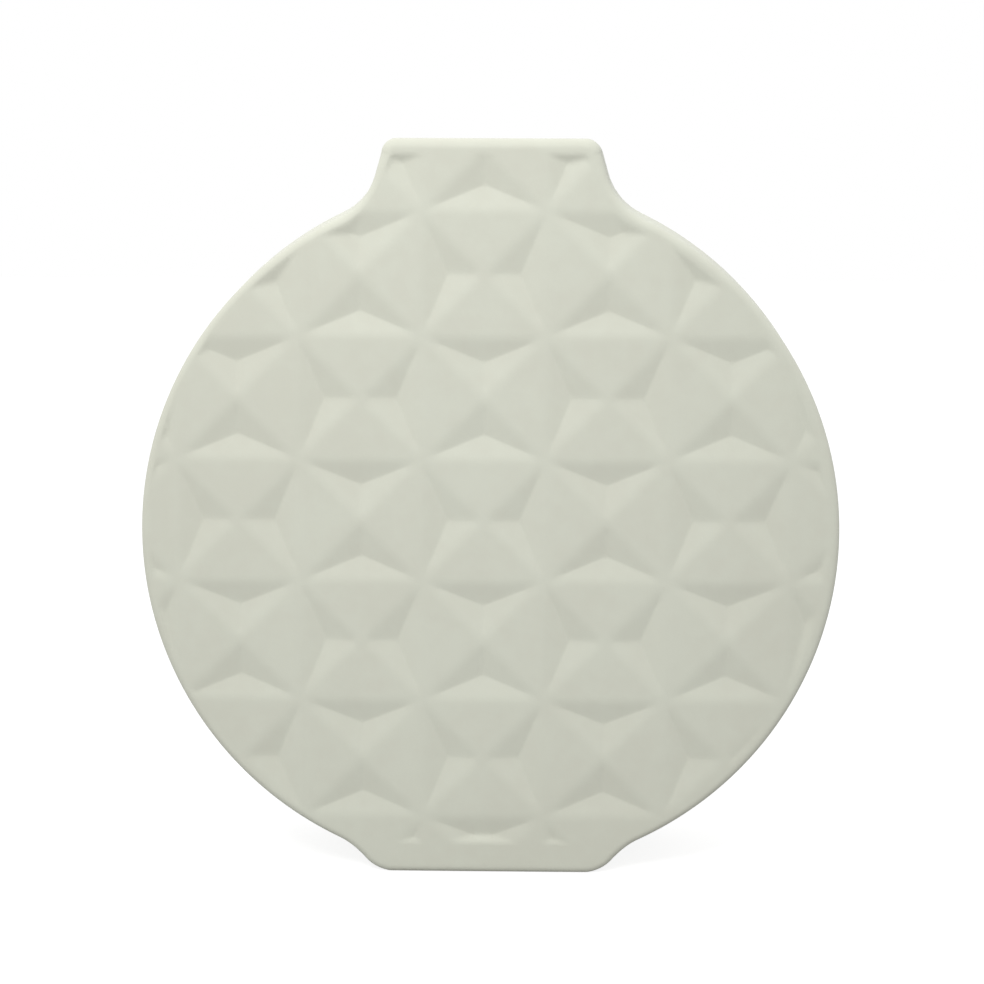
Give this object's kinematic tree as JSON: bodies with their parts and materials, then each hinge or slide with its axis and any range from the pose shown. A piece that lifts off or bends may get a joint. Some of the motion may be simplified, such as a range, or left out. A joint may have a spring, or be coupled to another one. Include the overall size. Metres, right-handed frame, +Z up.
{
  "type": "pillow vase",
  "caption": "Flat round porcelain vase with a short flared neck and small foot, gently crowned faces cut with a faceted geometric relief, and a glazed hollow inside for flowers.",
  "frame": {"origin": "on the table under the middle of the foot", "axes": "+Z up, -Y out of the front face, +X to the right seen from the front"},
  "size_m": [0.2, 0.054, 0.21],
  "materials": {
    "bisque": "unglazed matt bisque porcelain",
    "slip": "fettled matt slip",
    "glaze": "clear gloss glaze"
  },
  "bodies": {
    "root": {"front_shell": "bisque", "back_shell": "bisque", "floor_plate": "bisque", "seam_slip_left": "slip", "seam_slip_right": "slip", "floor_slip": "slip", "inner_glaze": "glaze"}
  },
  "joints": []
}
